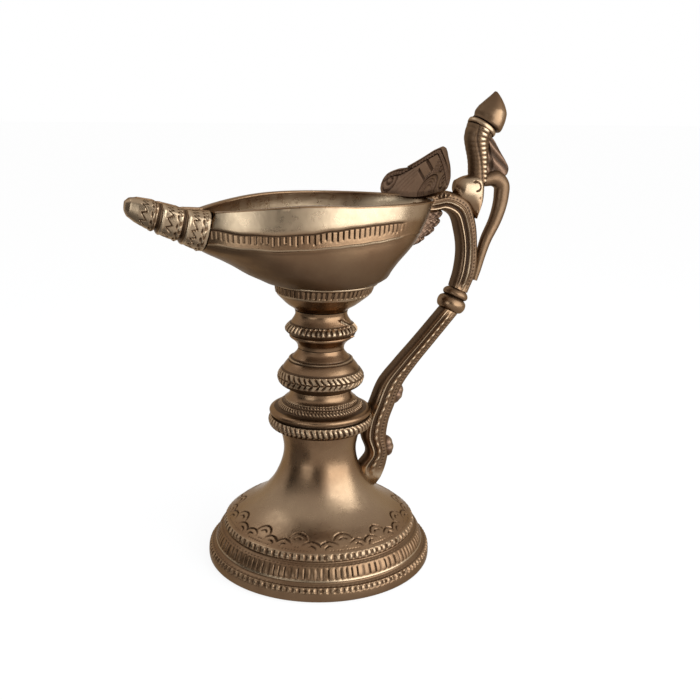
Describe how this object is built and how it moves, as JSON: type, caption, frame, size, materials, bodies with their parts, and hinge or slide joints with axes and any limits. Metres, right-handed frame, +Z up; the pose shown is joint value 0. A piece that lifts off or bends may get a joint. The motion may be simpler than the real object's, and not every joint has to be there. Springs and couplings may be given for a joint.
{
  "type": "standing oil lamp",
  "caption": "Standing cast brass oil lamp: bell foot, turned stem, boat-shaped bowl with a wick nose, and a looped handle with a beast's head and a bud finial.",
  "frame": {"origin": "on the surface that the foot stands on, under the middle of the whole lamp", "axes": "+Z up along the stem, the wick nose towards -X, the handle towards +X, +Y across the bowl"},
  "size_m": [0.1576, 0.091, 0.1858],
  "materials": {
    "aged_brass": "aged cast brass, worn smooth, satin",
    "dark_brass": "aged cast brass with dark patina in the relief",
    "rod_steel": "dull mild steel rod, hidden"
  },
  "bodies": {
    "root": {"foot_bell": "aged_brass", "stem_collar": "aged_brass", "lower_knop": "aged_brass", "upper_knop": "aged_brass", "bowl_cup": "aged_brass", "tie_rod": "rod_steel", "tie_washer": "aged_brass", "tie_nut": "aged_brass", "oil_bowl": "aged_brass", "spout_nose": "aged_brass", "handle_arch": "aged_brass", "handle_knot": "aged_brass", "handle_lower": "aged_brass", "upper_leaf": "dark_brass", "lower_leaf": "dark_brass", "bracket_rivet": "aged_brass", "foot_rivet": "aged_brass", "ringed_trunk": "aged_brass", "beast_head": "aged_brass", "bud_collar": "aged_brass", "bud": "aged_brass", "leaf_fin": "dark_brass", "mouth_strap": "aged_brass", "leaf_bracket": "dark_brass", "crest_plate": "dark_brass"}
  },
  "joints": []
}
